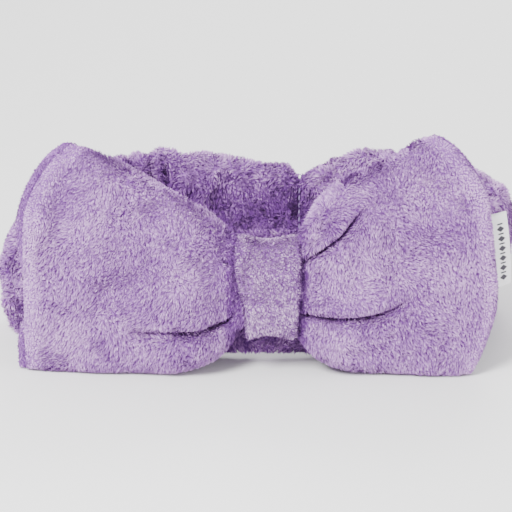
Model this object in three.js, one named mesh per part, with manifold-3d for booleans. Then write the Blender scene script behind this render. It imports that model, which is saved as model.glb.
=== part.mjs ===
// A face-wash headband: a ruched fleece band on a hidden elastic, with a big soft bow on its front.
// Millimetres, +Z up, the bow faces -Y. The band stands on its lower edge, as it does on a shelf.
import * as THREE from 'three';
import { mergeVertices } from 'three/addons/utils/BufferGeometryUtils.js';
import Module from 'manifold-3d';

// ---------------------------------------------------------------- driving dimensions

const clearance = 0.4; // between two pieces that lie against each other

// Fleece loop of the band, along the middle of its thickness.
const loopHalfWidth = 109;
const loopDepth = 98;
const loopShiftX = -2.5; // the loop sits a little to the left of the knot
const loopSkew = 12; // the left side lies nearer the bow, the right side further back
const bandHeight = 60;
const bandFrontLift = 5; // the band's lower edge is drawn up behind the knot
const bandRise = 7; // the band stands this much taller at the back than at the front
const bandWall = 3;
const bandHalfThickFront = 4.6;
const bandHalfThickBack = 6.8;

// Elastic inside the band.
const elasticHeight = 25;
const elasticThick = 1.2;
const elasticMiddle = 27; // height of its centre line
const elasticPlay = 3; // room above and below it in the band's channel

// Centre-back seam, where the band's ends and the elastic's ends are sewn together.
const backSeamTurn = 170; // degrees round the loop: the band has slipped a little round the knot
const backSeamWidth = 5;
const backSeamDrop = 7; // how much lower the pinched seam is than the band beside it
const backSeamThread = 0.7;

// Knot: a strip wrapped round the bow's waist and closed behind it.
const knotWidth = 32;
const knotHeight = 49;
const knotDepth = 22;
const knotBottom = 17;
const knotMiddleY = -6; // the knot's middle lies a little in front of the wings' middle
const knotWall = 3.5;
const knotCorner = 7;
const knotSlit = 6; // left open by the strip's ends, filled by their closing seam
const tackRadius = 1.1;

// Bow: two fleece panels on each side of the knot.
const panelThick = 3.5;
const wingBottomStart = 12; // height of the wings' lower edge where they leave the knot
const wingTopStart = 66;
const leftReachTop = 86.5;
const leftReachMiddle = 111;
const leftReachBottom = 107.5;
const leftPeak = 107;
const rightReachTop = 73.5;
const rightReachMiddle = 102;
const rightReachBottom = 88;
const rightPeak = 108;
const wingSwell = 14; // how far the front panel swells out from the wing's middle
const wingSwellBack = 9;
const wingRootHalf = 7;
const wingEdgeHalf = 4.4;
const rightLean = 0.1; // the right wing leans back by a tenth of its height

// Seam at the free end of each wing, and the folded ribbon label caught in the right one.
const seamThick = 1.5;
const seamDepth = 9;
const labelHeight = 34;
const labelWidth = 12;
const labelRibbon = 0.4;
const labelBottom = 39;
const labelTurn = 52; // degrees that the label is bent back from the line of the wing

// ---------------------------------------------------------------- looks

const fleece = { color: 0xb8a0d0, roughness: 0.95, metalness: 0 };
const shortFleece = { color: 0xb39fca, roughness: 0.95, metalness: 0 };
const elasticWeb = { color: 0xf0eef2, roughness: 0.8, metalness: 0 };
const thread = { color: 0x9a84b8, roughness: 0.7, metalness: 0 };
const satin = { color: 0xf4f1f3, roughness: 0.45, metalness: 0 };

// ---------------------------------------------------------------- shaping tools

const wasm = await Module();
wasm.setup();

const { smoothstep, lerp, degToRad } = THREE.MathUtils;

function withoutSeams(geometry) {
  geometry.deleteAttribute('normal');
  geometry.deleteAttribute('uv');
  return mergeVertices(geometry);
}

function signedVolume(geometry) {
  const corner = [new THREE.Vector3(), new THREE.Vector3(), new THREE.Vector3()];
  const index = geometry.index.array;
  let volume = 0;
  for (let i = 0; i < index.length; i += 3) {
    corner.forEach((c, k) => c.fromBufferAttribute(geometry.attributes.position, index[i + k]));
    volume += corner[0].dot(corner[1].clone().cross(corner[2])) / 6;
  }
  return volume;
}

// A block of cells bent into shape: place(u, v, w) gives each corner's point, with u, v and w from 0 to 1.
function bentBlock(cellsU, cellsV, cellsW, place) {
  const geometry = withoutSeams(new THREE.BoxGeometry(1, 1, 1, cellsU, cellsV, cellsW));
  const position = geometry.attributes.position;
  for (let i = 0; i < position.count; i += 1) {
    const point = place(position.getX(i) + 0.5, position.getY(i) + 0.5, position.getZ(i) + 0.5);
    position.setXYZ(i, ...point);
  }
  if (signedVolume(geometry) < 0) {
    geometry.index.array.reverse();
  }
  geometry.computeVertexNormals();
  return geometry;
}

function toSolid(geometry) {
  const merged = withoutSeams(geometry.clone());
  const vertProperties = Float32Array.from(merged.attributes.position.array);
  const triVerts = Uint32Array.from(merged.index.array);
  return new wasm.Manifold(new wasm.Mesh({ numProp: 3, vertProperties, triVerts }));
}

function toGeometry(solid) {
  const mesh = solid.getMesh();
  const geometry = new THREE.BufferGeometry();
  geometry.setAttribute('position', new THREE.BufferAttribute(mesh.vertProperties, 3));
  geometry.setIndex(new THREE.BufferAttribute(mesh.triVerts, 1));
  geometry.computeVertexNormals();
  return geometry;
}

function hollowed(outer, inner) {
  return toGeometry(toSolid(outer).subtract(toSolid(inner)));
}

function piece(name, geometry, look) {
  const mesh = new THREE.Mesh(geometry, new THREE.MeshStandardMaterial(look));
  mesh.name = name;
  return mesh;
}

// ---------------------------------------------------------------- bow wings

// A wing's outline in the plane of the bow: across is the distance out from the knot's middle.
function wingOutline(reachTop, reachMiddle, reachBottom, peak) {
  const root = knotWidth / 2 + clearance;
  const run = reachTop - root;
  const rise = peak - wingTopStart;
  const curve = (points) => new THREE.SplineCurve(points.map(([x, z]) => new THREE.Vector2(x, z)));
  return {
    top: curve([
      [root, wingTopStart],
      [root + 0.1 * run, wingTopStart + 0.24 * rise],
      [root + 0.34 * run, wingTopStart + 0.5 * rise],
      [root + 0.65 * run, wingTopStart + 0.76 * rise],
      [root + 0.87 * run, wingTopStart + 0.95 * rise],
      [reachTop, peak],
    ]),
    bottom: curve([
      [root, wingBottomStart],
      [root + 5, wingBottomStart * 0.4],
      [root + 14, 0.6],
      [root + 24, 0],
      [reachBottom - 20, 0],
      [reachBottom, 0],
    ]),
    tip: curve([
      [reachBottom, 0],
      [lerp(reachBottom, reachMiddle, 0.85), peak * 0.23],
      [reachMiddle, peak * 0.47],
      [lerp(reachMiddle, reachTop, 0.12), peak * 0.72],
      [lerp(reachMiddle, reachTop, 0.35), peak * 0.88],
      [lerp(reachMiddle, reachTop, 0.65), peak * 0.97],
      [reachTop, peak],
    ]),
    root,
  };
}

// Coons patch over the outline: s runs out from the knot, w runs up.
function onWing(outline, s, w) {
  const low = outline.bottom.getPointAt(s);
  const high = outline.top.getPointAt(s);
  const near = new THREE.Vector2(outline.root, lerp(wingBottomStart, wingTopStart, w));
  const far = outline.tip.getPointAt(w);
  const ruledUp = low.clone().lerp(high, w);
  const ruledOut = near.clone().lerp(far, s);
  const cornersLow = outline.bottom.getPoint(0).lerp(outline.bottom.getPoint(1), s);
  const cornersHigh = outline.top.getPoint(0).lerp(outline.top.getPoint(1), s);
  return ruledUp.add(ruledOut).sub(cornersLow.lerp(cornersHigh, w));
}

const wings = {
  left: {
    side: -1,
    outline: wingOutline(leftReachTop, leftReachMiddle, leftReachBottom, leftPeak),
    lean: 0,
    forward: 0,
  },
  right: {
    side: 1,
    outline: wingOutline(rightReachTop, rightReachMiddle, rightReachBottom, rightPeak),
    lean: rightLean,
    forward: 6,
  },
};

// Middle surface of a wing, halfway between its two panels.
function wingMiddleY(wing, s, z) {
  const setBack = lerp(knotMiddleY, 0, smoothstep(s, 0, 0.4));
  const leaning = wing.lean * z * smoothstep(s, 0.2, 0.8);
  return setBack + leaning - wing.forward * smoothstep(s, 0.3, 1);
}

// Half the wing's thickness: full in the middle, thin along its edges and at its sewn end.
function wingHalf(swell, s, w) {
  const filled = lerp(wingRootHalf, swell, smoothstep(s, 0, 0.45)) * (1 - 0.45 * smoothstep(s, 0.6, 1));
  const crown = Math.pow(1 - Math.pow(Math.abs(2 * w - 1), 3), 0.6);
  const sewnEnd = Math.sqrt(Math.max(0, 1 - Math.pow(smoothstep(s, 0.9, 1), 2)));
  return Math.max(wingEdgeHalf, lerp(wingEdgeHalf, filled, crown * sewnEnd));
}

// The panels part by the seam's thickness at the wing's end, and all but touch along its other edges.
function panelInset(s) {
  const endSeam = seamThick / 2 + clearance;
  return lerp(clearance / 2, endSeam, smoothstep(s, 0.8, 0.86));
}

function wingPanel(wing, front) {
  const swell = front ? wingSwell : wingSwellBack;
  const facing = front ? -1 : 1;
  return bentBlock(14, 1, 9, (s, v, w) => {
    const { x, y: z } = onWing(wing.outline, s, w);
    const half = wingHalf(swell, s, w);
    const inner = Math.max(half - panelThick, panelInset(s));
    const offset = lerp(inner, half, v);
    return [wing.side * x, wingMiddleY(wing, s, z) + facing * offset, Math.max(0, z)];
  });
}

// The turned-in edges of both panels, sewn together along the wing's free end.
function endSeam(wing, from, to) {
  return bentBlock(1, 1, 8, (u, v, w) => {
    const up = lerp(from, to, w);
    const tip = wing.outline.tip.getPointAt(up);
    const inward = onWing(wing.outline, 0.9, up).sub(tip).setLength(seamDepth);
    const point = tip.clone().addScaledVector(inward, lerp(0.12, 1, u));
    const s = lerp(0.99, 0.9, u);
    const y = wingMiddleY(wing, s, point.y) + (v - 0.5) * seamThick;
    return [wing.side * point.x, y, point.y];
  });
}

const leftWing = new THREE.Group();
leftWing.add(piece('left_wing_front_panel', wingPanel(wings.left, true), fleece));
leftWing.add(piece('left_wing_back_panel', wingPanel(wings.left, false), fleece));
leftWing.add(piece('left_end_seam', endSeam(wings.left, 0.06, 0.86), shortFleece));

const rightWing = new THREE.Group();
rightWing.add(piece('right_wing_front_panel', wingPanel(wings.right, true), fleece));
rightWing.add(piece('right_wing_back_panel', wingPanel(wings.right, false), fleece));
rightWing.add(piece('right_end_seam', endSeam(wings.right, 0.06, 0.86), shortFleece));

// ---------------------------------------------------------------- label on the right wing's end

// Height along the right wing's end edge, as a share of the edge's length.
function tipShareAt(height) {
  let low = 0;
  let high = 1;
  for (let i = 0; i < 30; i += 1) {
    const middle = (low + high) / 2;
    if (wings.right.outline.tip.getPointAt(middle).y < height) {
      low = middle;
    } else {
      high = middle;
    }
  }
  return low;
}

function tipPoint(height) {
  const at = wings.right.outline.tip.getPointAt(tipShareAt(height));
  return new THREE.Vector3(at.x, wingMiddleY(wings.right, 1, height), height);
}

const labelFoot = tipPoint(labelBottom);
const labelHead = tipPoint(labelBottom + labelHeight);
const labelAxis = labelHead.clone().sub(labelFoot).normalize();

// A ribbon folded in half round its outer edge, both leaves sewn in together.
function labelLoop() {
  const gap = 0.5;
  const outerRadius = gap / 2 + labelRibbon;
  const fold = labelWidth - outerRadius;
  const outline = new THREE.Shape();
  outline.moveTo(0, -outerRadius);
  outline.lineTo(fold, -outerRadius);
  outline.absarc(fold, 0, outerRadius, -Math.PI / 2, Math.PI / 2, false);
  outline.lineTo(0, outerRadius);
  outline.lineTo(0, gap / 2);
  outline.lineTo(fold, gap / 2);
  outline.absarc(fold, 0, gap / 2, Math.PI / 2, -Math.PI / 2, true);
  outline.lineTo(0, -gap / 2);
  outline.closePath();
  return new THREE.ExtrudeGeometry(outline, { depth: labelHeight, bevelEnabled: false, curveSegments: 4 });
}

const labelStandOff = 1.6; // keeps the ribbon clear of the fleece edge it comes out of
const label = new THREE.Group();
const ribbon = piece('side_label', labelLoop(), satin);
label.add(ribbon);
const outward = new THREE.Vector3(Math.cos(degToRad(labelTurn)), Math.sin(degToRad(labelTurn)), 0);
outward.addScaledVector(labelAxis, -outward.dot(labelAxis)).normalize();
const across = labelAxis.clone().cross(outward);
label.setRotationFromMatrix(new THREE.Matrix4().makeBasis(outward, across, labelAxis));
label.position.copy(labelFoot).addScaledVector(new THREE.Vector3(1, 0, 0), labelStandOff);

// ---------------------------------------------------------------- knot and waist

function roundedRect(halfY, halfZ, corner) {
  const outline = new THREE.Path();
  outline.moveTo(-halfY + corner, -halfZ);
  outline.lineTo(halfY - corner, -halfZ);
  outline.absarc(halfY - corner, -halfZ + corner, corner, -Math.PI / 2, 0, false);
  outline.lineTo(halfY, halfZ - corner);
  outline.absarc(halfY - corner, halfZ - corner, corner, 0, Math.PI / 2, false);
  outline.lineTo(-halfY + corner, halfZ);
  outline.absarc(-halfY + corner, halfZ - corner, corner, Math.PI / 2, Math.PI, false);
  outline.lineTo(-halfY, -halfZ + corner);
  outline.absarc(-halfY + corner, -halfZ + corner, corner, Math.PI, 1.5 * Math.PI, false);
  return outline;
}

// Turns an outline drawn in (y, z) into a bar along X, centred on the knot.
function barAlongX(outline, length) {
  const shape = new THREE.Shape(outline.getPoints(4));
  const bar = new THREE.ExtrudeGeometry(shape, { depth: length, bevelEnabled: false, curveSegments: 4 });
  bar.applyMatrix4(new THREE.Matrix4().makeBasis(
    new THREE.Vector3(0, 1, 0),
    new THREE.Vector3(0, 0, 1),
    new THREE.Vector3(1, 0, 0),
  ));
  return bar.translate(-length / 2, 0, 0);
}

const knotMiddle = new THREE.Vector3(0, knotMiddleY, knotBottom + knotHeight / 2);

function knotWrap() {
  const outside = barAlongX(roundedRect(knotDepth / 2, knotHeight / 2, knotCorner), knotWidth);
  const innerCorner = knotCorner - knotWall;
  const inside = barAlongX(
    roundedRect(knotDepth / 2 - knotWall, knotHeight / 2 - knotWall, innerCorner),
    knotWidth + 2,
  );
  const slit = new THREE.BoxGeometry(knotWidth + 2, knotWall + 2, knotSlit);
  slit.translate(0, knotDepth / 2 - knotWall / 2, 0);
  return toGeometry(toSolid(outside).subtract(toSolid(inside)).subtract(toSolid(slit)));
}

function knotClosingSeam() {
  const high = knotSlit - 2 * clearance;
  return new THREE.BoxGeometry(knotWidth - 2, knotWall, high).translate(0, knotDepth / 2 - knotWall / 2, 0);
}

function bowWaist() {
  const halfY = knotDepth / 2 - knotWall - clearance;
  const halfZ = knotHeight / 2 - knotWall - clearance;
  return barAlongX(roundedRect(halfY, halfZ, knotCorner - knotWall), knotWidth);
}

const knot = new THREE.Group();
knot.position.copy(knotMiddle);
knot.add(piece('knot_wrap', knotWrap(), shortFleece));
knot.add(piece('knot_closing_seam', knotClosingSeam(), shortFleece));
knot.add(piece('bow_waist', bowWaist(), fleece));

// ---------------------------------------------------------------- band

const knotBackY = knotMiddleY + knotDepth / 2;
const tackLength = 2.6;
const bandFrontY = knotBackY + tackLength + 2 * clearance + bandHalfThickFront;

// The loop's centre line at an angle from the front: 90 is its right side, 180 its back.
function loopPoint(degrees) {
  const angle = degToRad(degrees);
  const sine = Math.sin(angle);
  const x = loopShiftX * smoothstep(Math.abs(degrees), 0, 60) + loopHalfWidth * sine;
  const y = bandFrontY + (loopDepth / 2) * (1 - Math.cos(angle)) + loopSkew * sine ** 3;
  return new THREE.Vector2(x, y);
}

function loopOutward(degrees) {
  const step = 0.5;
  const along = loopPoint(degrees + step).sub(loopPoint(degrees - step)).normalize();
  return new THREE.Vector2(along.y, -along.x);
}

// The band stands tallest beside the centre-back seam, and the seam pinches it in.
function bandTop(degrees) {
  const turn = Math.abs(degrees);
  const fromSeam = Math.abs(THREE.MathUtils.euclideanModulo(degrees, 360) - backSeamTurn);
  const taller = bandRise * smoothstep(turn, 90, 140);
  const pinch = (bandRise + backSeamDrop) * (1 - smoothstep(fromSeam, 2, 22));
  return bandHeight + taller - pinch;
}

function bandBottom(degrees) {
  return bandFrontLift * (1 - smoothstep(Math.abs(degrees), 6, 20));
}

function bandHalfThick(degrees) {
  return lerp(bandHalfThickFront, bandHalfThickBack, smoothstep(Math.abs(degrees), 30, 110));
}

// The upper edge is a rounded fold, and the lower edge is nearly as thick as the band, so it stands.
function bandRounding(w) {
  return 1 - 0.55 * smoothstep(w, 0.75, 1) - 0.25 * smoothstep(1 - w, 0.85, 1);
}

function bandRun(from, to, cells, cellsUp, halfThick, bottom, top) {
  return bentBlock(cells, 1, cellsUp, (u, v, w) => {
    const degrees = lerp(from, to, u);
    const offset = (v - 0.5) * 2 * halfThick(degrees, w);
    const point = loopPoint(degrees).addScaledVector(loopOutward(degrees), offset);
    return [point.x, point.y, lerp(bottom(degrees), top(degrees), w)];
  });
}

const gapDegrees = 0.25;

// A fleece tube with open ends, hollow for the elastic.
function casing(from, to, cells) {
  const past = 0.5 * Math.sign(to - from);
  const outer = bandRun(
    from, to, cells, 6,
    (degrees, w) => bandHalfThick(degrees) * bandRounding(w),
    bandBottom,
    bandTop,
  );
  const inner = bandRun(
    from - past, to + past, cells, 1,
    (degrees) => bandHalfThick(degrees) - bandWall,
    () => elasticMiddle - elasticHeight / 2 - elasticPlay,
    () => elasticMiddle + elasticHeight / 2 + elasticPlay,
  );
  return hollowed(outer, inner);
}

function elasticRun(from, to, cells) {
  return bandRun(
    from, to, cells, 1,
    () => elasticThick / 2,
    () => elasticMiddle - elasticHeight / 2,
    () => elasticMiddle + elasticHeight / 2,
  );
}

const frontEnd = 12;
const sideEnd = 118;
const backSeamHalfTurn = THREE.MathUtils.radToDeg((backSeamWidth / 2 + clearance) / loopHalfWidth);
const leftBackEnd = backSeamTurn + backSeamHalfTurn - 360;
const rightBackEnd = backSeamTurn - backSeamHalfTurn;

const frontHolder = new THREE.Group();
frontHolder.add(piece('front_band', casing(-frontEnd, frontEnd, 5), fleece));
frontHolder.add(piece('front_elastic', elasticRun(-frontEnd, frontEnd, 5), elasticWeb));

const sides = new THREE.Group();
const back = new THREE.Group();
for (const [word, turn, backEnd] of [['left', -1, leftBackEnd], ['right', 1, rightBackEnd]]) {
  const sideFrom = turn * (frontEnd + gapDegrees);
  const sideTo = turn * (sideEnd - gapDegrees);
  const backFrom = turn * (sideEnd + gapDegrees);
  sides.add(piece(`${word}_side_band`, casing(sideFrom, sideTo, 14), fleece));
  sides.add(piece(`${word}_side_elastic`, elasticRun(sideFrom, sideTo, 14), elasticWeb));
  back.add(piece(`${word}_back_band`, casing(backFrom, backEnd, 9), fleece));
  back.add(piece(`${word}_back_elastic`, elasticRun(backFrom, backEnd, 9), elasticWeb));
}

// The seam stands across the band, so it is turned with the band there.
const seamPlace = loopPoint(backSeamTurn);
const seamOutward = loopOutward(backSeamTurn);
const backSeam = new THREE.Group();
backSeam.position.set(seamPlace.x, seamPlace.y, bandTop(backSeamTurn) / 2);
backSeam.rotation.z = Math.atan2(seamOutward.y, seamOutward.x) - Math.PI / 2;

const seamDepthThrough = 2 * bandHalfThickBack - 3;
const seamTall = bandTop(backSeamTurn) - 4;
const seamBlock = new THREE.BoxGeometry(backSeamWidth, seamDepthThrough, seamTall);
backSeam.add(piece('centre_back_seam', seamBlock, shortFleece));

const backThread = new THREE.CylinderGeometry(backSeamThread, backSeamThread, seamTall - 8, 8);
backThread.rotateX(Math.PI / 2);
backThread.translate(0, -seamDepthThrough / 2 - backSeamThread - clearance, 0);
backSeam.add(piece('centre_back_stitching', backThread, thread));
back.add(backSeam);

// Thread tacks that hold the knot to the band behind it.
for (const [word, share] of [['upper', 0.76], ['lower', 0.24]]) {
  const tack = new THREE.CylinderGeometry(tackRadius, tackRadius, tackLength, 8);
  const height = knotBottom + share * knotHeight;
  tack.translate(0, knotBackY + clearance + tackLength / 2, height);
  frontHolder.add(piece(`knot_${word}_tack`, tack, thread));
}

// ---------------------------------------------------------------- whole headband

const headband = new THREE.Group();
headband.add(knot, leftWing, rightWing, label, frontHolder, sides, back);

// The origin is the middle of the headband's footprint, on the surface that it stands on.
const extent = new THREE.Box3().setFromObject(headband);
const centre = extent.getCenter(new THREE.Vector3());
headband.position.set(-centre.x, -centre.y, -extent.min.z);

export default headband;
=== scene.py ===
import math
import bpy
import numpy as np
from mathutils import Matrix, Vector


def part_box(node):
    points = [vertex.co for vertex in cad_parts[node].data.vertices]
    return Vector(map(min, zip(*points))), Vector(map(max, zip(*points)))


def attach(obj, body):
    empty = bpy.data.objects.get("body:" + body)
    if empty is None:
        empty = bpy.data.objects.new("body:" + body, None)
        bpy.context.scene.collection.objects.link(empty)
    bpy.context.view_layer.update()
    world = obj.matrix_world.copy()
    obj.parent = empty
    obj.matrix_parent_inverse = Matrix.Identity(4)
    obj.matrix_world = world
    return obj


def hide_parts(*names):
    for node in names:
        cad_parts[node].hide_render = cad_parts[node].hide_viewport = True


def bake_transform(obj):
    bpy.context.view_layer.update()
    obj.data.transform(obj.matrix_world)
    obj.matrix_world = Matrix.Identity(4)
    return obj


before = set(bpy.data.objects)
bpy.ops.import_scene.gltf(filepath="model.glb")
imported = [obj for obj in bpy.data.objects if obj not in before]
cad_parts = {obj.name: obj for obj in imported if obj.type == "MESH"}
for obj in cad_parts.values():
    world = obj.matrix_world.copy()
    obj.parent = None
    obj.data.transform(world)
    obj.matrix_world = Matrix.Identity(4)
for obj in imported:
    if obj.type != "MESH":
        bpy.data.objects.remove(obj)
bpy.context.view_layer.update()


# ---------------------------------------------------------------- band
# The band is one tube of coral fleece, gathered on an elastic strip that runs inside it.
# Its ends and the elastic's are sewn together in a pinched seam at the back of the head.
# Shapes are worked out in millimetres from the middle of the knot's CAD box.

MM = 0.001
knot_low, knot_high = (np.array(corner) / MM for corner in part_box("knot_wrap"))
knot_middle = (knot_low + knot_high) / 2
knot_half = (knot_high - knot_low) / 2


def smooth(value, start, end):
    """0 before start, 1 after end, and an easy rise between them."""
    share = np.clip((np.asarray(value, float) - start) / (end - start), 0, 1)
    return share * share * (3 - 2 * share)


def blend_to(low, high, share):
    return low + (high - low) * share


def signed_power(value, power):
    return np.sign(value) * np.abs(value) ** power


def unit(vectors):
    return vectors / np.maximum(np.linalg.norm(vectors, axis=-1, keepdims=True), 1e-9)


class Wander:
    """Smooth random values from -1 to 1, the same on every run."""

    CELLS = 64

    def __init__(self, seed):
        self.lattice = np.random.default_rng(seed).uniform(-1, 1, (self.CELLS,) * 3)

    def __call__(self, points, size):
        scaled = np.asarray(points, float) / size + 1000
        cell = np.floor(scaled).astype(int)
        part = scaled - cell
        part = part * part * (3 - 2 * part)
        total = np.zeros(part.shape[:-1])
        for corner in np.ndindex(2, 2, 2):
            at = tuple((cell[..., k] + corner[k]) % self.CELLS for k in range(3))
            weight = np.prod([part[..., k] if corner[k] else 1 - part[..., k] for k in range(3)], axis=0)
            total += weight * self.lattice[at]
        return total


def spread(*fields):
    """Fields of unlike shapes, stacked as the coordinates of one field of points."""
    return np.stack(np.broadcast_arrays(*fields), -1)


def normals_of(grid):
    """Unit normals, facing out, of a grid of points that closes on itself in its second direction."""
    around = np.roll(grid, -1, 1) - np.roll(grid, 1, 1)
    normal = unit(np.cross(np.gradient(grid, axis=0), around))
    outward = grid - grid.mean(axis=1, keepdims=True)
    return normal * np.sign(np.sum(normal * outward))


def make_mesh(name, points, faces, body=None):
    """A smooth mesh of millimetre points, which rides on a body."""
    mesh = bpy.data.meshes.new(name)
    corner_lists = faces.tolist() if isinstance(faces, np.ndarray) else faces
    mesh.from_pydata((np.asarray(points) * MM).tolist(), [], corner_lists)
    mesh.shade_smooth()
    piece = bpy.data.objects.new(name, mesh)
    bpy.context.scene.collection.objects.link(piece)
    if body:
        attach(piece, body)
    return piece


def grid_faces(rows, columns):
    """Quads over a grid whose columns close on themselves."""
    row = np.arange(rows - 1)[:, None]
    column = np.arange(columns)[None, :]
    beside = (column + 1) % columns
    here, above = row * columns, (row + 1) * columns
    return np.stack([here + column, above + column, above + beside, here + beside], -1).reshape(-1, 4)


def tube_piece(name, grid, body=None):
    """A closed mesh over a tube of points, with one middle point in each end."""
    rows, columns = grid.shape[:2]
    points = grid.reshape(-1, 3)
    column = np.arange(columns)
    beside = (column + 1) % columns
    base = (rows - 1) * columns
    start = np.stack([column, beside, np.full(columns, len(points))], -1)
    end = np.stack([base + beside, base + column, np.full(columns, len(points) + 1)], -1)
    points = np.vstack([points, grid[0].mean(0), grid[-1].mean(0)])
    return make_mesh(name, points, grid_faces(rows, columns).tolist() + start.tolist() + end.tolist(), body)


LOOP_HALF_WIDTH = 109
LOOP_DEPTH = 98
LOOP_SHIFT = -2.5
LOOP_SKEW = 12
BAND_HEIGHT = 60
BAND_RISE = 7  # the back stands this much taller than the front
BAND_FRONT_Y = 19  # behind the middle of the knot
SEAM_TURN = 170  # degrees round the loop: the band has slipped a little round the knot
SEAM_GAP = 0.5
PINCH_DROP = 3.5
SEAM_DIP = 9  # the top edge sags over a wide stretch on each side of the seam
DIP_REACH_RIGHT, DIP_REACH_LEFT = 18, 34  # degrees
FRONT_HALF_THICK, SIDE_HALF_THICK = 3.6, 6.0
FRONT_LIFT = 3  # the lower edge is drawn up behind the knot
CLOTH_LIFT = 1.2  # the ground cloth stands this far off the floor, on its pile
RIDGE_SWELL, SMALL_RIDGE_SWELL, LUMP_SWELL = 2.7, 1.0, 1.7
CREST_RIDGE, CREST_LUMP = 1.9, 1.8  # how far the gathers ruffle the top edge


def loop_line(degrees):
    """The middle of the band's thickness, at an angle from the front, and its outward direction."""
    def place(angle):
        turn = np.radians(angle)
        shift = LOOP_SHIFT * smooth(np.abs(angle), 0, 60)
        x = knot_middle[0] + shift + LOOP_HALF_WIDTH * np.sin(turn)
        back = LOOP_DEPTH / 2 * (1 - np.cos(turn)) + LOOP_SKEW * np.sin(turn) ** 3
        return np.stack([x, knot_middle[1] + BAND_FRONT_Y + back], -1)
    along = unit(place(degrees + 0.5) - place(degrees - 0.5))
    return place(degrees), np.stack([along[..., 1], -along[..., 0]], -1)


ruffle = Wander(11)
lumps = Wander(12)


def side_lean(degrees, height):
    """The sides don't stand straight: the left one leans in at its top, the right one at its bottom."""
    left_side = smooth(-degrees, 45, 75) * (1 - smooth(-degrees, 110, 140))
    right_side = smooth(degrees, 50, 80) * (1 - smooth(degrees, 110, 140))
    left_lean = 2 - 8 * smooth(height, 30, 62)
    right_lean = 6 * smooth(height, 12, 46) - 5
    return left_side * left_lean + right_side * right_lean


def band_surface(rows=640, columns=150):
    """Grid of points over the gathered tube and each row's angle. For each point, also how far it is
    on the inner face, on a gather's ridge and on the top edge."""
    degrees = np.linspace(SEAM_TURN - 360 + SEAM_GAP, SEAM_TURN - SEAM_GAP, rows)
    line, outward = loop_line(degrees)
    run = np.concatenate([[0], np.cumsum(np.linalg.norm(np.diff(line, axis=0), axis=1))])
    turn = np.abs(degrees)
    from_seam = np.minimum(np.abs(degrees - SEAM_TURN), np.abs(degrees - SEAM_TURN + 360))
    pinch = 1 - smooth(from_seam, 0.5, 4.5)
    dip_reach = np.where(degrees < 0, DIP_REACH_LEFT, DIP_REACH_RIGHT)
    dip = SEAM_DIP * (1 - smooth(from_seam / dip_reach, 0.1, 1))
    top = BAND_HEIGHT + BAND_RISE * smooth(turn, 90, 140) - PINCH_DROP * pinch - dip
    bottom = FRONT_LIFT * (1 - smooth(turn, 6, 20)) + CLOTH_LIFT
    half = blend_to(FRONT_HALF_THICK, SIDE_HALF_THICK, smooth(turn, 30, 110)) * (1 - 0.5 * pinch)
    gathered = (smooth(turn, 14, 40) * (1 - 0.6 * pinch))[:, None]

    around = np.linspace(0, 2 * np.pi, columns, endpoint=False)
    up = signed_power(np.cos(around), 0.85)
    out = signed_power(np.sin(around), 0.55)
    height = ((top + bottom) / 2)[:, None] + ((top - bottom) / 2)[:, None] * up[None, :]
    # Gathers run across the band. Each is a soft ridge, and the two faces have their own.
    face = np.where(out > 0, 60.0, 0.0)[None, :]
    ridge = 1 - 2 * np.abs(ruffle(spread(run[:, None], height * 0.25 + face, 0.0), 9.0))
    small_ridge = 1 - 2 * np.abs(ruffle(spread(run[:, None] + 300, height * 0.4 + face, 0.0), 4.6))
    blob = lumps(spread(run[:, None], height, out[None, :] * 9), 9.0)
    swell = (RIDGE_SWELL * ridge + SMALL_RIDGE_SWELL * small_ridge + LUMP_SWELL * blob) * gathered
    offset = half[:, None] * out[None, :] + swell * out[None, :]
    offset = offset + side_lean(degrees[:, None], height)
    crest = smooth(up, 0.5, 1)[None, :] * gathered
    height = np.maximum(height + crest * (CREST_RIDGE * ridge + CREST_LUMP * blob), 1.0)
    flat = line[:, None, :] + outward[:, None, :] * offset[..., None]
    inner = smooth(-np.broadcast_to(out[None, :], offset.shape), -0.2, 0.5)
    return np.concatenate([flat, height[..., None]], -1), degrees, inner, ridge, crest


band_grid, band_degrees, band_inner, band_ridge, band_crest = band_surface()
band_normals = normals_of(band_grid)
TUFT_SINK = 0.5
TUFT_LOWEST = 0.15
clump_drift = Wander(5)


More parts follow.
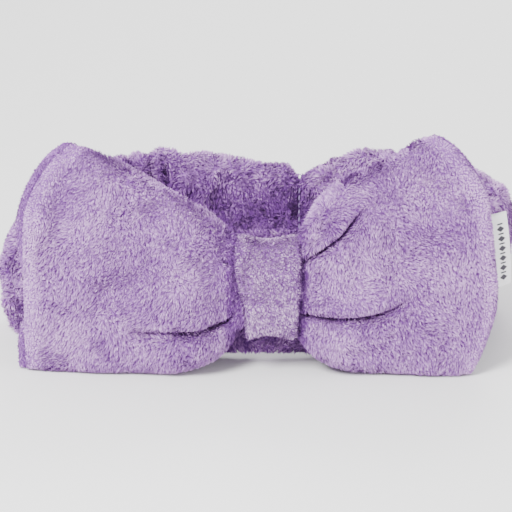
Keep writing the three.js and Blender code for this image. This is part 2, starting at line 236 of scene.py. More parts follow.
def locks(grid, normals, flow, tone, seed, spacing=0.6, length=2.0, width=0.6, clump=1.3,
          contrast=1.0, keep=None):
    """Pile planted over a grid. Each lock of fibres is a bent blade that leans along the flow, and
    neighbours draw together into clumps. tone is 0 dark to 1 light, and a size may vary over the grid.
    Returns points, faces, each point's tone, and its share of the way from root to tip."""
    rng = np.random.default_rng(seed)
    low, high = grid[:-1], grid[1:]
    area = np.linalg.norm(np.cross(high - low, np.roll(low, -1, 1) - low), axis=-1)
    if keep is not None:
        area = area * keep[:-1]
    count = np.floor(area / spacing ** 2 + rng.random(area.shape)).astype(int)
    row, column = (np.repeat(index.ravel(), count.ravel()) for index in np.indices(area.shape))
    total = len(row)
    down, over = rng.random((2, total, 1))
    beside = (column + 1) % grid.shape[1]

    def between(field):
        if field.ndim == 2:
            field = field[..., None]
        before = blend_to(field[row, column], field[row, beside], over)
        after = blend_to(field[row + 1, column], field[row + 1, beside], over)
        return blend_to(before, after, down)

    root = between(grid)
    up = unit(between(normals))
    long = between(np.broadcast_to(length, grid.shape[:2])) * rng.uniform(0.75, 1.2, (total, 1))
    wide = width * rng.uniform(0.7, 1.2, (total, 1))

    # Clumps are cells of space with wandering borders.
    drift = spread(*(clump_drift(root + 70 * k, 2.2 * clump) for k in range(3)))
    cell = np.floor((root + 1.1 * clump * drift) / clump).astype(int)
    member = np.unique(cell @ np.array([1, 5003, 5003 * 5003]), return_inverse=True)[1].ravel()
    size = np.bincount(member)
    heart = np.stack([np.bincount(member, root[:, k]) / size for k in range(3)], -1)[member]
    clump_turn = rng.normal(0, 0.28, (len(size), 3))[member]
    clump_tone = rng.normal(0, 0.1 * contrast, len(size))[member]

    lean = between(flow) + clump_turn + rng.normal(0, 0.16, (total, 3))
    lean = unit(lean - up * np.sum(lean * up, axis=1, keepdims=True))
    side = unit(np.cross(up, lean) + up * rng.normal(0, 0.4, (total, 1)))
    pull = 0.5 * (heart - root)
    root = root - up * TUFT_SINK
    middle = root + long * (0.6 * up + 0.2 * lean) + 0.5 * pull
    tip = root + long * (0.95 * up + 0.7 * lean) + pull
    half = side * wide / 2
    points = np.stack([root - half, root + half, middle - half, middle + half, tip], 1)
    points[..., 2] = np.maximum(points[..., 2], TUFT_LOWEST)
    blade = np.array([[0, 1, 3], [0, 3, 2], [2, 3, 4]])
    faces = (blade[None] + 5 * np.arange(total)[:, None, None]).reshape(-1, 3)
    shade = between(tone)[:, 0] + clump_tone + rng.normal(0, 0.2 * contrast, total)
    rise = np.tile([0, 0, 0.55, 0.55, 1], total)
    return points.reshape(-1, 3), faces, np.repeat(np.clip(shade, 0, 1), 5), rise


def pile_piece(name, planted, material, body=None):
    points, faces, tone, rise = planted
    piece = make_mesh(name, points, faces, body)
    for label, values in (("lock_tone", tone), ("lock_rise", rise)):
        piece.data.attributes.new(label, "FLOAT", "POINT").data.foreach_set("value", values)
    piece.data.materials.append(material)
    return piece


class Value:
    """A shader socket that can be used in Python sums, each of which adds its Math node."""

    def __init__(self, finish, socket):
        self.finish = finish
        self.socket = socket

    def _with(self, operation, other, swapped=False):
        pair = (other, self) if swapped else (self, other)
        return self.finish.node("ShaderNodeMath", {"operation": operation}, dict(enumerate(pair)))

    def __add__(self, other):
        return self._with("ADD", other)

    def __radd__(self, other):
        return self._with("ADD", other)

    def __sub__(self, other):
        return self._with("SUBTRACT", other)

    def __rsub__(self, other):
        return self._with("SUBTRACT", other, True)

    def __mul__(self, other):
        return self._with("MULTIPLY", other)

    def __rmul__(self, other):
        return self._with("MULTIPLY", other)


class Finish:
    """A material under construction, with one method that adds any node."""

    def __init__(self, name):
        self.material = bpy.data.materials.new(name)
        self.material.use_nodes = True
        self.tree = self.material.node_tree
        self.shader = self.tree.nodes["Principled BSDF"]

    def node(self, kind, settings=None, sockets=None, output=0):
        made = self.tree.nodes.new(kind)
        for key, value in (settings or {}).items():
            if key == "stops":
                ramp = made.color_ramp
                while len(ramp.elements) < len(value):
                    ramp.elements.new(0.5)
                for element, (place, colour) in zip(ramp.elements, value):
                    element.position = place
                    element.color = colour
            else:
                setattr(made, key, value)
        for key, value in (sockets or {}).items():
            self.feed(made.inputs[key], value)
        return Value(self, made.outputs[output])

    def feed(self, socket, value):
        if isinstance(value, Value):
            self.tree.links.new(value.socket, socket)
        else:
            socket.default_value = value

    def noise(self, scale, detail=2.0, roughness=0.6):
        place = self.node("ShaderNodeTexCoord", output=3)
        return self.node("ShaderNodeTexNoise", {"noise_dimensions": "3D"},
                         {"Vector": place, "Scale": scale, "Detail": detail, "Roughness": roughness})

    def shade(self, **sockets):
        for key, value in sockets.items():
            self.feed(self.shader.inputs[key.replace("_", " ")], value)
        return self.material


def srgb(red, green, blue):
    """A shader colour from the 0 to 255 values of a colour chart."""
    def straight(value):
        value /= 255
        return value / 12.92 if value <= 0.04045 else ((value + 0.055) / 1.055) ** 2.4
    return (straight(red), straight(green), straight(blue), 1)


DEEP = srgb(98, 50, 124)
MIDDLE = srgb(163, 112, 184)
LIGHT = srgb(212, 170, 222)


def ground_finish(name, patch_scale):
    """The knitted ground under the pile, darker than the tips because little light gets down to it."""
    finish = Finish(name)
    tone = finish.noise(patch_scale, 3.0) * 0.5 + finish.noise(800.0, 2.0, 0.7) * 0.5
    colour = finish.node("ShaderNodeValToRGB", {"stops": [(0.36, DEEP), (0.64, MIDDLE)]}, {"Fac": tone})
    bump = finish.node("ShaderNodeBump", {},
                       {"Strength": 0.6, "Distance": 0.0005, "Height": finish.noise(1500.0)})
    return finish.shade(Base_Color=colour, Roughness=0.95, Normal=bump, Specular_IOR_Level=0.15)


def pile_finish(name, deep, middle, light):
    """Dyed microfibre. A lock takes its tone from where it grows, painted shade and highlights included, and
    pales from its root to its tip, which is painted shade at the root.
    """
    finish = Finish(name)
    tone = finish.node("ShaderNodeAttribute", {"attribute_name": "lock_tone"}, output=2)
    rise = finish.node("ShaderNodeAttribute", {"attribute_name": "lock_rise"}, output=2)
    fibre = finish.noise(1800.0, 2.0, 0.7)
    # The lock's root is painted darker than its tip, as painted shade; the lock tone brings in the painted
    # shade and highlights of where it grows.
    shade = tone * 0.8 + rise * 0.42 + fibre * 0.2 - 0.31
    colour = finish.node("ShaderNodeValToRGB", {"stops": [(0.12, deep), (0.5, middle), (0.86, light)]},
                         {"Fac": shade})
    bump = finish.node("ShaderNodeBump", {}, {"Strength": 0.4, "Distance": 0.0002, "Height": fibre})
    rough = 0.95 - rise * 0.15
    return finish.shade(Base_Color=colour, Roughness=rough, Normal=bump, Sheen_Weight=0.22,
                        Sheen_Roughness=0.5, Sheen_Tint=LIGHT, Specular_IOR_Level=0.2)


plush_ground = ground_finish("lavender_fleece_ground", 60.0)
plush_pile = pile_finish("lavender_fleece_pile", DEEP, MIDDLE, LIGHT)

band_cloth = tube_piece("band_fleece", band_grid)
band_cloth.data.materials.append(plush_ground)


def stretches(piece):
    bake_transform(piece)


stretches(band_cloth)
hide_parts("front_band", "left_side_band", "right_side_band", "left_back_band",
            "right_back_band")

flow_noise = Wander(21)
tone_noise = Wander(22)


def brushed(grid, weight):
    """The way the pile lies: down, but brushed this way and that."""
    swirl = spread(*(flow_noise(grid + 100 * k, 8.0) for k in range(3)))
    swirl[..., 2] -= weight
    return swirl


def patches(grid, middle=0.55, depth=0.18):
    """Light and dark patches where the pile has been stroked one way or the other."""
    broad = tone_noise(grid, 17.0)
    small = tone_noise(grid + 200, 5.0)
    return middle + depth * broad + 0.4 * depth * small


band_flow = brushed(band_grid, 0.3)
# Painted shade and highlights go into the band's tone: painted shade on the front band under the knot and on
# the inner face, more towards its bottom and less where the right back turns up, which also gets a little
# painted light; the gathers' ridges and the top edge get painted highlights.
under_knot_shade = (1 - smooth(np.abs(band_degrees), 9, 16))[:, None]
band_depth = 1 - smooth(band_grid[..., 2], 30, 66)
turned_up = (smooth(band_degrees, 100, 125) * (1 - smooth(band_degrees, 164, 169)))[:, None]
inner_shade = (0.26 + 0.34 * band_depth) * (1 - 0.8 * turned_up) - 0.08 * turned_up
band_tone_and_shade = (patches(band_grid) - inner_shade * band_inner - 0.25 * under_knot_shade
             + 0.16 * band_ridge + 0.14 * band_crest)
PILE_RUNS = 6
row_count = len(band_degrees)
for run_number in range(PILE_RUNS):
    first = row_count * run_number // PILE_RUNS
    last = min(row_count, row_count * (run_number + 1) // PILE_RUNS + 1)
    part = slice(first, last)
    planted = locks(band_grid[part], band_normals[part], band_flow[part], band_tone_and_shade[part],
                    seed=100 + run_number, spacing=0.58, length=2.2, width=0.62, clump=1.8)
    stretches(pile_piece(f"band_pile_{run_number + 1}", planted, plush_pile))


# ---------------------------------------------------------------- centre-back seam
# The casing's two ends, folded in and sewn together through the elastic. It shows as a narrow
# pinched ridge at the bottom of a notch, with a row of stitches down each side.

seam_line, seam_outward = (pair[0] for pair in loop_line(np.array([float(SEAM_TURN)])))
seam_out = np.append(seam_outward, 0)
seam_along = np.array([-seam_outward[1], seam_outward[0], 0])
seam_foot = np.append(seam_line, 0)
SEAM_FOOT = 2
SEAM_BELOW_EDGE = 1.5
SEAM_TALL = BAND_HEIGHT + BAND_RISE - PINCH_DROP - SEAM_DIP - SEAM_BELOW_EDGE
SEAM_HALF_WIDE = 1.5
SEAM_HALF_DEEP = 2.6


def seam_surface(rows=60, columns=24):
    height = np.linspace(SEAM_FOOT, SEAM_TALL, rows)[:, None]
    around = np.linspace(0, 2 * np.pi, columns, endpoint=False)[None, :]
    from_middle = np.abs(2 * (height - SEAM_FOOT) / (SEAM_TALL - SEAM_FOOT) - 1)
    ends = np.sqrt(np.clip(1 - from_middle ** 14, 0.05, 1))
    along = SEAM_HALF_WIDE * ends * np.cos(around)
    out = SEAM_HALF_DEEP * ends * np.sin(around) * (1 + 0.12 * ruffle(spread(0.0, 0.0, height), 4.0))
    return (seam_foot + along[..., None] * seam_along + out[..., None] * seam_out
            + height[..., None] * np.array([0, 0, 1]))


seam_grid = seam_surface()
seam_cloth = tube_piece("centre_back_seam_fleece", seam_grid, "back")
seam_cloth.data.materials.append(plush_ground)
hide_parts("centre_back_seam")
seam_normals = normals_of(seam_grid)
planted = locks(seam_grid, seam_normals, brushed(seam_grid, 0.6), patches(seam_grid, 0.3), seed=60,
                spacing=0.6, length=1.7, width=0.6, clump=1.4)
seam_pile = pile_piece("centre_back_seam_pile", planted, plush_pile, "back")


# ---------------------------------------------------------------- bow
# The bow is two layers of coral fleece sewn round their ends and turned right side out.
# It is gathered at its waist, so folds fan out from the knot over each wing.

def through(points, count=120):
    """Evenly spaced points on the smooth curve through the given ones."""
    points = np.array(points, float)
    padded = np.vstack([2 * points[0] - points[1], points, 2 * points[-1] - points[-2]])
    share = np.linspace(0, 1, 24, endpoint=False)[:, None]
    pieces = []
    for a, b, c, d in zip(padded, padded[1:], padded[2:], padded[3:]):
        pieces.append(0.5 * (2 * b + (c - a) * share + (2 * a - 5 * b + 4 * c - d) * share ** 2
                             + (3 * b - a - 3 * c + d) * share ** 3))
    dense = np.vstack(pieces + [points[-1:]])
    run = np.concatenate([[0], np.cumsum(np.linalg.norm(np.diff(dense, axis=0), axis=1))])
    even = np.linspace(0, run[-1], count)
    return np.stack([np.interp(even, run, dense[:, k]) for k in range(dense.shape[1])], -1)


BOW_TALL = 108
WING_ROOT = 16.4  # from the middle of the knot
WING_BOTTOM = [(WING_ROOT, 15), (21, 9), (28, 4.6), (36, 1.8), (46, 0.4), (60, 0)]


def wing_outline(top, tip):
    """A wing's upper, lower and end edges, as distance out from the knot and height."""
    bottom = WING_BOTTOM + [(tip[0][0] - 15, 0), tip[0]]
    return through(top), through(bottom), through(tip)


left_outline = wing_outline(
    top=[(WING_ROOT, 67), (28, 75.5), (42, 83), (59, 93.5), (75, 101.8), (84, 106)],
    tip=[(107, 0), (107, 25), (106.5, 50), (106, 69), (103.5, 80), (98.5, 90.5), (92, 99.5), (84, 106)],
)
right_outline = wing_outline(
    top=[(WING_ROOT, 69), (24, 81), (34, 88.5), (44, 92), (56, 98), (65, 104.5), (73, BOW_TALL)],
    tip=[(91, 0), (96.5, 13), (100.4, 27), (101.4, 38), (100, 52), (97, 77), (92.8, 88), (86.8, 97),
         (80, 104), (73, BOW_TALL)],
)


def on_edge(edge, share):
    even = np.linspace(0, 1, len(edge))
    return np.stack([np.interp(share, even, edge[:, k]) for k in range(2)], -1)


def on_wing(outline, out, up):
    """Place on the wing: out runs from the knot to the free end, up from the lower edge to the upper."""
    top, bottom, tip = outline
    low, high = on_edge(bottom, out), on_edge(top, out)
    near = blend_to(bottom[0], top[0], up[..., None])
    far = on_edge(tip, up)
    out, up = out[..., None], up[..., None]
    ruled = blend_to(low, high, up) + blend_to(near, far, out)
    corners = blend_to(blend_to(bottom[0], bottom[-1], out), blend_to(top[0], top[-1], out), up)
    return ruled - corners


def crease(places, line, depth, width, above, below, reach):
    """How far a sewn-in fold pushes the front of the wing in or out. line runs away from the knot.
    above and below are how far the cloth puffs out on each side of it, over the given reach."""
    path = through(line, 60)
    gap = places[..., None, :] - path
    far = np.linalg.norm(gap, axis=-1)
    nearest = far.argmin(-1)
    distance = far.min(-1)
    along = np.gradient(path, axis=0)[nearest]
    offset = np.take_along_axis(gap, nearest[..., None, None], axis=-2)[..., 0, :]
    upward = np.sign(along[..., 0] * offset[..., 1] - along[..., 1] * offset[..., 0])
    fade = 1 - smooth(nearest / (len(path) - 1), 0.5, 1)
    groove = -depth * np.exp(-(distance / width) ** 1.5)
    puff = np.where(upward > 0, above, below) * (distance / reach) * np.exp(1 - distance / reach)
    return (groove + puff) * (0.1 + 0.9 * fade)


def hollow(places, centre, size, depth):
    """A soft dent in the front of the wing."""
    gap = (places - np.array(centre)) / np.array(size)
    return -depth * np.exp(-np.sum(gap ** 2, -1))


cloth_wave = Wander(31)
ROOT_HALF = 5.4  # half the wing's thickness where it comes out of the knot
FRONT_SWELL, BACK_SWELL = 14, 8.5  # the same for each layer where it puffs out most
ROLL_RADIUS = 4.6
WING_REACH = 90  # about how far a wing stands out from the knot
ROLL_TURN = 2.75  # radians that the end of each layer rolls through, down to the seam between them
INSIDE_ROWS = 10
ROLL_ROWS = 20
WAIST_LOW, WAIST_HIGH = 22.5, 60.5
WAIST_REACH = 9  # how far the gathered cloth runs in under the knot
FAN_DEPTH = 2.4
FAN_LENGTH = 17
SLACK_DEPTH, FINE_DEPTH = 1.7, 0.6
MIDDLE_SET_BACK = 6  # the wing's middle lies behind the knot's


def wing_surface(side, outline, lean, forward, back_reach, folds, dents, seed):
    """Grid of points over one wing, closed round its section, from inside the knot to its sewn end.
    For each point, also its share of the way out, whether it is on the front, and how far it lies
    in a fold and in a dent."""
    columns = 320
    inside = np.linspace(-1, 0, INSIDE_ROWS, endpoint=False)
    rolling = np.linspace(0, 1, ROLL_ROWS + 1)[1:]
    roll_share = ROLL_RADIUS / WING_REACH
    out = np.concatenate([np.zeros(INSIDE_ROWS), np.linspace(0, 1 - roll_share, 130),
                          1 - roll_share + roll_share * np.sin(rolling * ROLL_TURN)])
    rows = len(out)
    around = np.linspace(0, 2 * np.pi, columns, endpoint=False)
    up = np.broadcast_to(0.5 - 0.5 * np.cos(around), (rows, columns))
    face = np.broadcast_to(np.sin(around), (rows, columns))  # above 0 on the front
    out = np.broadcast_to(out[:, None], (rows, columns))
    places = on_wing(outline, out, up)

    front = smooth(face, -0.05, 0.05)
    half = blend_to(ROOT_HALF, blend_to(BACK_SWELL, FRONT_SWELL, front), smooth(out, 0, 0.34))
    half = half * (1 - 0.42 * smooth(out, 0.55, 0.97))
    rolled = np.ones(rows)
    rolled[-ROLL_ROWS:] = (1 + np.cos(rolling * ROLL_TURN)) / 2
    offset = half * signed_power(face, 0.5) * rolled[:, None]

    # Inside the knot the wing is gathered to the size of the bow's waist.
    into = np.zeros((rows, 1))
    into[:INSIDE_ROWS, 0] = -inside
    squeeze = np.minimum(1, into * 2.5)
    places = places + spread(-WAIST_REACH * into, 0 * up)
    places[..., 1] = blend_to(places[..., 1], blend_to(WAIST_LOW, WAIST_HIGH, up), squeeze)
    offset = offset * (1 - 0.12 * squeeze)

    # Gathers fan out from the knot, and the cloth's own slack wanders over the wing.
    from_knot = places[..., 0] - WING_ROOT
    fan = 1 - 2 * np.abs(cloth_wave(spread(up * 9 + seed, 0.012 * from_knot, 3.0 * front), 1.0))
    fan_depth = FAN_DEPTH * np.exp(-np.maximum(from_knot, 0) / FAN_LENGTH) * smooth(from_knot, -2, 6)
    slack = cloth_wave(spread(places[..., 0], places[..., 1], 40 * front + seed), 19.0)
    fine = cloth_wave(spread(places[..., 0], places[..., 1], 90 * front + seed), 7.0)
    free = smooth(out, 0.08, 0.35) * (1 - smooth(out, 0.9, 1))
    push = fan * fan_depth + (SLACK_DEPTH * slack + FINE_DEPTH * fine) * free
    folded = sum(crease(places, **fold) for fold in folds) * front * (1 - smooth(out, 0.9, 0.97))
    folded = folded * np.where(folded > 0, smooth(from_knot, 1, 13), smooth(from_knot, -4, 1))
    dented = sum(hollow(places, **dent) for dent in dents) * front * (1 - smooth(out, 0.9, 0.97))
    push = push + folded + dented
    offset = offset + push * np.abs(face) ** 0.35 * np.where(face > 0, 1, -1)

    # The back layer reaches a little past the front one, so the seam between them faces forward.
    reaches = 1 - smooth(places[..., 1], 12, 26) + smooth(places[..., 1], 34, 62)
    past = back_reach * reaches * smooth(out, 0.8, 1) * (1 - front)
    middle = blend_to(0, MIDDLE_SET_BACK, smooth(out, 0, 0.4))
    leaning = lean * places[..., 1] * smooth(out, 0.2, 0.8)
    y = knot_middle[1] + middle + leaning - forward * smooth(out, 0.3, 1) - offset
    x = knot_middle[0] + side * (places[..., 0] + past)
    z = np.maximum(places[..., 1], 0) * (1 - CLOTH_LIFT / BOW_TALL) + CLOTH_LIFT
    grid = np.stack([x, y, z], -1)
    return grid, out, front, smooth(-folded, 0.6, 4.0), smooth(-dented - slack, 0, 8)


left_folds = [
    dict(line=[(12, 31), (16, 27.5), (19.4, 25.6), (26, 23), (30, 22), (45, 21.6), (58, 21.4), (66, 22)],
         depth=6.8, width=2.0, above=3.0, below=3.6, reach=6.5),
    dict(line=[(12, 50.5), (16, 53), (19, 55), (23, 59)],
         depth=3.4, width=1.7, above=1.0, below=1.2, reach=3.4),
]
left_dents = [
    dict(centre=(70, 36), size=(18, 8), depth=4.2),
    dict(centre=(90, 80), size=(6, 20), depth=2.6),
    dict(centre=(48, 55), size=(12, 7), depth=2.2),
    dict(centre=(66, 66), size=(12, 6), depth=1.8),
]
right_folds = [
    dict(line=[(12, 52.5), (16, 55), (20, 58), (24.2, 60.8), (29.5, 65), (33, 68), (39, 75), (43, 80),
               (47, 84)],
         depth=7.0, width=1.9, above=3.8, below=1.8, reach=7.0),
    dict(line=[(12, 46), (15, 47.5), (18, 49.5), (22, 51.5), (28, 55)],
         depth=3.0, width=1.6, above=1.2, below=0.8, reach=3.4),
    dict(line=[(12, 31), (15, 29.8), (22, 28.6), (29, 28.2), (39, 28.2), (47.5, 30), (55.4, 33.6), (62, 38.6),
               (67, 43)],
         depth=6.2, width=1.8, above=2.6, below=3.2, reach=6.5),
]
right_dents = [
    dict(centre=(54, 86), size=(10, 8), depth=4.2),
    dict(centre=(66, 62), size=(8, 18), depth=2.4),
    dict(centre=(84, 40), size=(7, 16), depth=1.4),
]

# lean tilts a wing's top back, and forward brings its free end forward.
wings = {
    "left": dict(side=-1, outline=left_outline, lean=0, forward=0, back_reach=3.8,
                 folds=left_folds, dents=left_dents, seed=5),
    "right": dict(side=1, outline=right_outline, lean=0.1, forward=6, back_reach=0.5,
                  folds=right_folds, dents=right_dents, seed=50),
}
WING_HINGE = 16.2  # out from the middle of the knot
WING_BEND_LENGTH = 26
WING_BEND_HEIGHT = 40
KNOT_COVERS = 9.5  # no pile is needed nearer the knot's middle than this
FRONT_SPACING, BACK_SPACING = 0.42, 0.58

for word, shape in wings.items():
    side, seed = shape["side"], shape["seed"]
    grid, out, front, in_fold, hollow_shade = wing_surface(**shape)
    normals = normals_of(grid)
    hinge = knot_middle[0] + side * WING_HINGE
    bend_from = (hinge * MM, knot_middle[1] * MM, WING_BEND_HEIGHT * MM)
    bend_to = ((hinge + side * WING_BEND_LENGTH) * MM, knot_middle[1] * MM, WING_BEND_HEIGHT * MM)

    def flexes(piece):
        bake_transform(piece)

    cloth = tube_piece(f"{word}_wing_fleece", grid)
    cloth.data.materials.append(plush_ground)
    flexes(cloth)
    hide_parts(f"{word}_wing_front_panel", f"{word}_wing_back_panel", f"{word}_end_seam")

    # The pile lies away from the knot. It is pressed short in the folds and along the rolled ends.
    away = unit(np.gradient(grid, axis=0))
    flow = away * 0.4 + brushed(grid, 0.8)
    outside = (np.abs(grid[..., 0] - knot_middle[0]) > KNOT_COVERS).astype(float)
    # Painted shade and highlight go into the wing's tone: painted shade in the folds, the dents and the
    # slack's hollows, the groove of the end seam and beside the knot, and a painted highlight along the
    # rolled end's rim.
    rim = smooth(out, 0.91, 0.95)
    seam = np.concatenate([np.zeros(len(grid) - ROLL_ROWS), np.linspace(0, 1, ROLL_ROWS) ** 1.6])[:, None]
    beside_knot_shade = 1 - smooth(np.abs(grid[..., 0] - knot_middle[0]), 15.5, 20)
    tone = patches(grid) - 0.5 * in_fold - 0.22 * hollow_shade + 0.3 * rim - 0.7 * seam - 0.45 * beside_knot_shade
    length = 1.9 * (1 - 0.3 * in_fold - 0.4 * rim) * (1 + 0.25 * flow_noise(grid + 40, 20.0))
    upper = grid[..., 2] > 45
    parts = {
        "front_upper": (upper & (front > 0.5), FRONT_SPACING),
        "front_lower": (~upper & (front > 0.5), FRONT_SPACING),
        "back": (front <= 0.5, BACK_SPACING),
    }
    for face_word, (part, spacing) in parts.items():
        planted = locks(grid, normals, flow, tone, seed=seed + len(face_word), spacing=spacing, length=length,
                        width=spacing * 1.12, clump=1.25, keep=outside * part)
        flexes(pile_piece(f"{word}_wing_pile_{face_word}", planted, plush_pile))
    # The label is sewn in along the right wing's end, so that seam is kept.
    end_seam = grid[-1, :grid.shape[1] // 2]


# ---------------------------------------------------------------- knot
# A strip of the same fleece with a shorter pile, wrapped once round the bow's waist.
# Its ends meet behind the bow, where they are closed by hand and tacked to the band.

short_ground = ground_finish("short_pile_ground", 90.0)
short_pile = pile_finish("short_pile", srgb(90, 50, 110), srgb(156, 114, 172), srgb(214, 180, 222))
EDGE_ROLL_DEEP, EDGE_ROLL_TALL = 2.8, 3.0
WAIST_PULL = 2.1


def knot_surface(rows=70, columns=260):
    across = np.linspace(-1, 1, rows)[:, None]
    around = np.linspace(0, 2 * np.pi, columns, endpoint=False)[None, :]
    depth, height = knot_half[1] - 0.5, knot_half[2] - 1.4
    # The strip's long edges roll inwards, and its middle is pulled in where it is tightest.
    edge = np.sqrt(np.clip(1 - smooth(np.abs(across), 0.84, 1.0) ** 2, 0, 1))
    pull = WAIST_PULL * (1 - smooth(np.abs(across), 0, 0.95))
    y = -signed_power(np.sin(around), 0.62) * (depth - EDGE_ROLL_DEEP * (1 - edge))
    z = -signed_power(np.cos(around), 0.8) * (height - EDGE_ROLL_TALL * (1 - edge) - pull)
    # It is squeezed narrower at the bottom than at the top, most of all on its left.
    share = smooth(z / height, -1, 0.7)
    narrowing = np.where(across < 0, blend_to(0.62, 0.87, share), blend_to(0.92, 0.98, share))
    x = across * (knot_half[0] - 1) * narrowing
    x = x + 0.5 * np.sin(z / height * 2.3) * np.sign(across) * np.abs(across) ** 4
    grid = np.stack([x, y, z], -1) + knot_middle
    grid[..., 1] += np.where(y < 0, 0.6, 0.2) * cloth_wave(grid + 500, 10.0)
    return grid, np.broadcast_to(edge, y.shape)


knot_grid, knot_edge = knot_surface()
knot_cloth = tube_piece("knot_fleece", knot_grid, "front")
knot_cloth.data.materials.append(short_ground)
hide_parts("knot_wrap", "bow_waist")
# The strip's rolled long edges are painted darker, as painted shade.
knot_tone_and_shade = patches(knot_grid, 0.47, 0.12) - 0.5 * (1 - knot_edge)
planted = locks(knot_grid, normals_of(knot_grid), brushed(knot_grid, 0.35), knot_tone_and_shade, seed=7,
                spacing=0.38, length=1.3, width=0.44, clump=1.0, contrast=1.5)
knot_pile = pile_piece("knot_pile", planted, short_pile, "front")


# ---------------------------------------------------------------- elastic and threads
# The elastic is a strip of white braided webbing that runs loose inside the casing and is caught in
# the centre-back seam. The threads are lavender polyester, twisted from plies. They close that seam
# and tack the knot to the band.

def plied_finish(name, colour, scale):
    finish = Finish(name)
    place = finish.node("ShaderNodeTexCoord", output=3)
    plies = finish.node("ShaderNodeTexWave", {"wave_type": "BANDS", "bands_direction": "DIAGONAL"},
                        {"Vector": place, "Scale": scale, "Distortion": 1.0})
    dark = tuple(0.6 * c for c in colour[:3]) + (1,)
    shade = finish.node("ShaderNodeValToRGB", {"stops": [(0.2, dark), (0.8, colour)]}, {"Fac": plies})
    bump = finish.node("ShaderNodeBump", {}, {"Strength": 0.6, "Distance": 0.0002, "Height": plies})
    return finish.shade(Base_Color=shade, Roughness=0.75, Normal=bump)


elastic_finish = plied_finish("braided_elastic", srgb(240, 238, 242), 1400.0)
ELASTIC_LOW, ELASTIC_HIGH = (corner[2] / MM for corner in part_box("front_elastic"))
ELASTIC_HALF_THICK = 0.6


def elastic_surface(rows=360, columns=16):
    """The strip stands on edge in the middle of the casing."""
    degrees = np.linspace(SEAM_TURN - 360 + SEAM_GAP, SEAM_TURN - SEAM_GAP, rows)
    line, outward = loop_line(degrees)
    around = np.linspace(0, 2 * np.pi, columns, endpoint=False)
    height = blend_to(ELASTIC_LOW, ELASTIC_HIGH, 0.5 + 0.5 * np.cos(around))
    height = np.broadcast_to(height, (rows, columns))
    across = ELASTIC_HALF_THICK * signed_power(np.sin(around), 0.3)
    offset = across + side_lean(degrees[:, None], height)
    flat = line[:, None, :] + outward[:, None, :] * offset[..., None]
    return np.concatenate([flat, height[..., None]], -1)


elastic_strip = tube_piece("elastic_strip", elastic_surface())
elastic_strip.data.materials.append(elastic_finish)
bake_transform(elastic_strip)
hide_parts("front_elastic", "left_side_elastic", "right_side_elastic", "left_back_elastic",
            "right_back_elastic")

thread_finish = plied_finish("lavender_thread", srgb(170, 138, 200), 2400.0)


def dress(node, material):
    """Gives a CAD piece its finish."""
    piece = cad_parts[node]
    piece.data.materials.clear()
    piece.data.materials.append(material)


for node in ("knot_upper_tack", "knot_lower_tack"):
    dress(node, thread_finish)
dress("knot_closing_seam", short_ground)


def stitch(points, middle, along, half_long, out, radius=0.45, sides=8):
    """Adds one short stitch, a rounded bar that dips into the cloth at both ends, to a list of rings."""
    across = np.cross(along, out)
    turns = np.linspace(0, 2 * np.pi, sides, endpoint=False)[:, None]
    for share in np.linspace(-1, 1, 7):
        lift = out * (0.5 - 1.1 * share ** 2)
        ring = radius * (1 - 0.35 * share ** 2) * (np.cos(turns) * across + np.sin(turns) * out)
        points.append(middle + along * half_long * share + lift + ring)


def stitch_row(name, places, along, half_long, out, material, body):
    """A row of separate stitches as one piece."""
    all_points, all_faces = [], []
    for place in places:
        rings = []
        stitch(rings, place, along, half_long, out)
        base = sum(len(p) for p in all_points)
        sides = len(rings[0])
        ends = [list(range(sides))[::-1], list(range(sides * (len(rings) - 1), sides * len(rings)))]
        faces = grid_faces(len(rings), sides).tolist() + ends
        all_faces += [[base + corner for corner in face] for face in faces]
        all_points.append(np.vstack(rings))
    piece = make_mesh(name, np.vstack(all_points), all_faces, body)
    piece.data.materials.append(material)
    return piece


STITCH_STEP = 3.6
STITCH_HALF_LONG = 1.35
STITCH_PROUD = 1.2
upright = np.array([0.0, 0.0, 1.0])
for word, sign in (("inner", -1), ("outer", 1)):
    heights = np.arange(5, SEAM_TALL - 3, STITCH_STEP)
    face = seam_foot + seam_out * sign * (SEAM_HALF_DEEP + STITCH_PROUD)
    places = [face + upright * height for height in heights]
    row = stitch_row(f"centre_back_stitches_{word}", places, upright, STITCH_HALF_LONG, seam_out * sign,
                     thread_finish, "back")
    if word == "inner":
        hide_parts("centre_back_stitching")


# ---------------------------------------------------------------- label
# A white satin ribbon, folded double and caught in the right wing's end seam. A row of woven
# diamonds and bars runs up it.

LABEL_TURN = math.radians(40)
LABEL_BOTTOM = 39
LABEL_TALL = 33
LABEL_WIDE = 12.5
LABEL_GAP = 0.55  # between the two layers of the fold
LABEL_THICK = 0.28
LABEL_CURL = 0.9
LABEL_TWIST = 0.07


def on_end_seam(height):
    return np.array([np.interp(height, end_seam[:, 2], end_seam[:, k]) for k in range(3)])


label_root = on_end_seam(LABEL_BOTTOM)
label_up = unit(on_end_seam(LABEL_BOTTOM + LABEL_TALL) - label_root)
label_out = np.array([math.cos(LABEL_TURN), math.sin(LABEL_TURN), 0])
label_face = unit(np.cross(label_out, label_up))


def label_point(across, height, off):
    """across runs out of the seam, off is proud of the ribbon's middle."""
    share = height / LABEL_TALL
    curl = LABEL_CURL * math.sin(share * math.pi) + LABEL_TWIST * across * share
    return label_root + label_out * across + label_up * height + label_face * (off + curl)


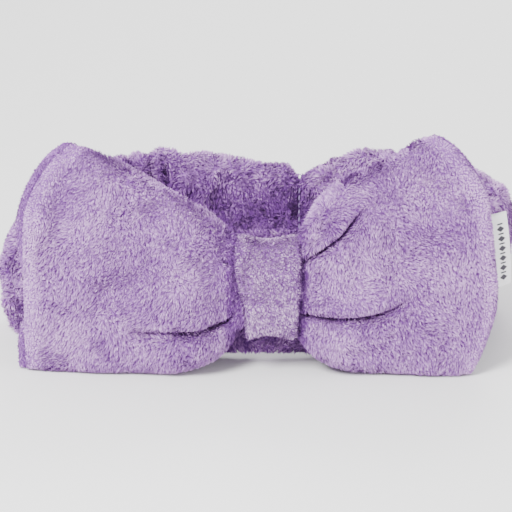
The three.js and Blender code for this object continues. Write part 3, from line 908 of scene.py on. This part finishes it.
def label_mesh():
    """The ribbon's own section is a hairpin: out along one layer, round the fold and back."""
    fold_radius = (LABEL_GAP + LABEL_THICK) / 2
    centre_line = [(s, fold_radius) for s in np.linspace(0, LABEL_WIDE, 14)]
    centre_line += [(LABEL_WIDE + fold_radius * math.sin(t), fold_radius * math.cos(t))
                    for t in np.linspace(0, math.pi, 9)[1:-1]]
    centre_line += [(s, -fold_radius) for s in np.linspace(LABEL_WIDE, 0, 14)]
    centre_line = np.array(centre_line)
    along = unit(np.gradient(centre_line, axis=0))
    normal = np.stack([-along[:, 1], along[:, 0]], -1)
    rim = np.vstack([centre_line + normal * LABEL_THICK / 2, (centre_line - normal * LABEL_THICK / 2)[::-1]])
    heights = np.linspace(0, LABEL_TALL, 30)
    grid = np.array([[label_point(a, h, o) for a, o in rim] for h in heights])
    faces = grid_faces(len(heights), len(rim)).tolist()
    half_rim = len(centre_line)
    last = (len(heights) - 1) * len(rim)
    for base, flip in ((0, False), (last, True)):
        for k in range(half_rim - 1):
            quad = [base + k, base + k + 1, base + len(rim) - 2 - k, base + len(rim) - 1 - k]
            faces.append(quad[::-1] if flip else quad)
    return grid.reshape(-1, 3), faces


def satin_finish(name, colour, rough):
    """Satin: long threads lie side by side up the ribbon, so it shines across them."""
    finish = Finish(name)
    place = finish.node("ShaderNodeTexCoord", output=3)
    threads = finish.node("ShaderNodeTexWave", {"wave_type": "BANDS", "bands_direction": "Z"},
                          {"Vector": place, "Scale": 1500.0, "Distortion": 0.6})
    cloud = finish.noise(120.0)
    dark = tuple(0.84 * c for c in colour[:3]) + (1,)
    tone = threads * 0.5 + cloud * 0.5
    shade = finish.node("ShaderNodeValToRGB", {"stops": [(0.25, dark), (0.75, colour)]}, {"Fac": tone})
    bump = finish.node("ShaderNodeBump", {}, {"Strength": 0.35, "Distance": 0.0001, "Height": threads})
    roughness = rough + cloud * 0.15
    return finish.shade(Base_Color=shade, Roughness=roughness, Normal=bump, Sheen_Weight=0.1)


label_points, label_faces = label_mesh()
label_cloth = make_mesh("label_ribbon", label_points, label_faces, "label")
label_cloth.data.materials.append(satin_finish("white_satin", srgb(246, 243, 247), 0.38))
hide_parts("side_label")

MOTIF_PROUD = 0.12
MOTIF_FOOT = 4.01
MOTIF_STEP = 2.2  # from a diamond's middle to the next bar's
MOTIF_COUNT = 12
MOTIF_INSET = 4.4  # its middle line, in from the fold


def motif_mesh():
    """Woven diamonds with a short bar between each two, raised a little from the ribbon."""
    face_off = (LABEL_GAP + LABEL_THICK) / 2 + LABEL_THICK / 2
    points, faces = [], []
    middle = LABEL_WIDE - MOTIF_INSET
    outlines = {
        "diamond": [(-2.2, 0), (0, -1.35), (2.2, 0), (0, 1.35)],
        "bar": [(-1.5, -0.3), (1.5, -0.3), (1.5, 0.3), (-1.5, 0.3)],
    }
    for number in range(MOTIF_COUNT):
        kind = "bar" if number % 2 else "diamond"
        height = MOTIF_FOOT + number * MOTIF_STEP
        base = len(points)
        for off in (face_off - 0.05, face_off + MOTIF_PROUD):
            for a, h in outlines[kind]:
                points.append(label_point(middle + a, height + h, off))
        faces += [[base + 3, base + 2, base + 1, base], [base + 4, base + 5, base + 6, base + 7]]
        for k in range(4):
            after = (k + 1) % 4
            faces.append([base + k, base + after, base + 4 + after, base + 4 + k])
    return np.array(points), faces


motif_points, motif_faces = motif_mesh()
label_motif = make_mesh("label_motif", motif_points, motif_faces, "label")
label_motif.data.shade_flat()
label_motif.data.materials.append(satin_finish("charcoal_thread", srgb(52, 46, 60), 0.55))


# ---------------------------------------------------------------- floor, light and camera
# A pale floor under a soft white surround and three soft lights: a key light at the front left, a
# weak fill light on the right and a light behind. The camera looks a little down on the bow.

floor_mesh = bpy.data.meshes.new("floor")
FLOOR_HALF = 3
floor_mesh.from_pydata([(-FLOOR_HALF, -FLOOR_HALF, 0), (FLOOR_HALF, -FLOOR_HALF, 0),
                        (FLOOR_HALF, FLOOR_HALF, 0), (-FLOOR_HALF, FLOOR_HALF, 0)], [], [(0, 1, 2, 3)])
floor = bpy.data.objects.new("floor", floor_mesh)
bpy.context.scene.collection.objects.link(floor)
floor.data.materials.append(Finish("pale_floor").shade(Base_Color=(0.93, 0.93, 0.93, 1), Roughness=0.9))

world = bpy.data.worlds.new("studio")
world.use_nodes = True
world.node_tree.nodes["Background"].inputs["Color"].default_value = (1, 1, 1, 1)
world.node_tree.nodes["Background"].inputs["Strength"].default_value = 1.1
bpy.context.scene.world = world

LIGHT_TARGET = Vector((0, 0, 0.05))


def soft_box(name, place, size, power):
    light = bpy.data.lights.new(name, "AREA")
    light.shape = "SQUARE"
    light.size = size
    light.energy = power
    lamp = bpy.data.objects.new(name, light)
    lamp.location = place
    lamp.rotation_euler = (LIGHT_TARGET - lamp.location).to_track_quat("-Z", "Y").to_euler()
    bpy.context.scene.collection.objects.link(lamp)


soft_box("key_light", (-0.45, -0.8, 0.85), 0.4, 30)
soft_box("fill_light", (0.9, -0.6, 0.45), 0.8, 5)
soft_box("back_light", (0.2, 0.9, 0.8), 0.6, 10)

CAMERA_ELEVATION = 20
CAMERA_DISTANCE = 1.1
IMAGE_WIDTH_AT_BOW = 0.2255
SENSOR_WIDTH = 36
look_at = np.array([-0.0022, -0.05, 0.0537])
tilt = math.radians(CAMERA_ELEVATION)
camera_data = bpy.data.cameras.new("camera")
camera_data.sensor_width = SENSOR_WIDTH
camera_data.lens = SENSOR_WIDTH * CAMERA_DISTANCE / IMAGE_WIDTH_AT_BOW
camera = bpy.data.objects.new("camera", camera_data)
camera.location = look_at + CAMERA_DISTANCE * np.array([0, -math.cos(tilt), math.sin(tilt)])
camera.rotation_euler = (math.pi / 2 - tilt, 0, 0)
bpy.context.scene.collection.objects.link(camera)
bpy.context.scene.camera = camera
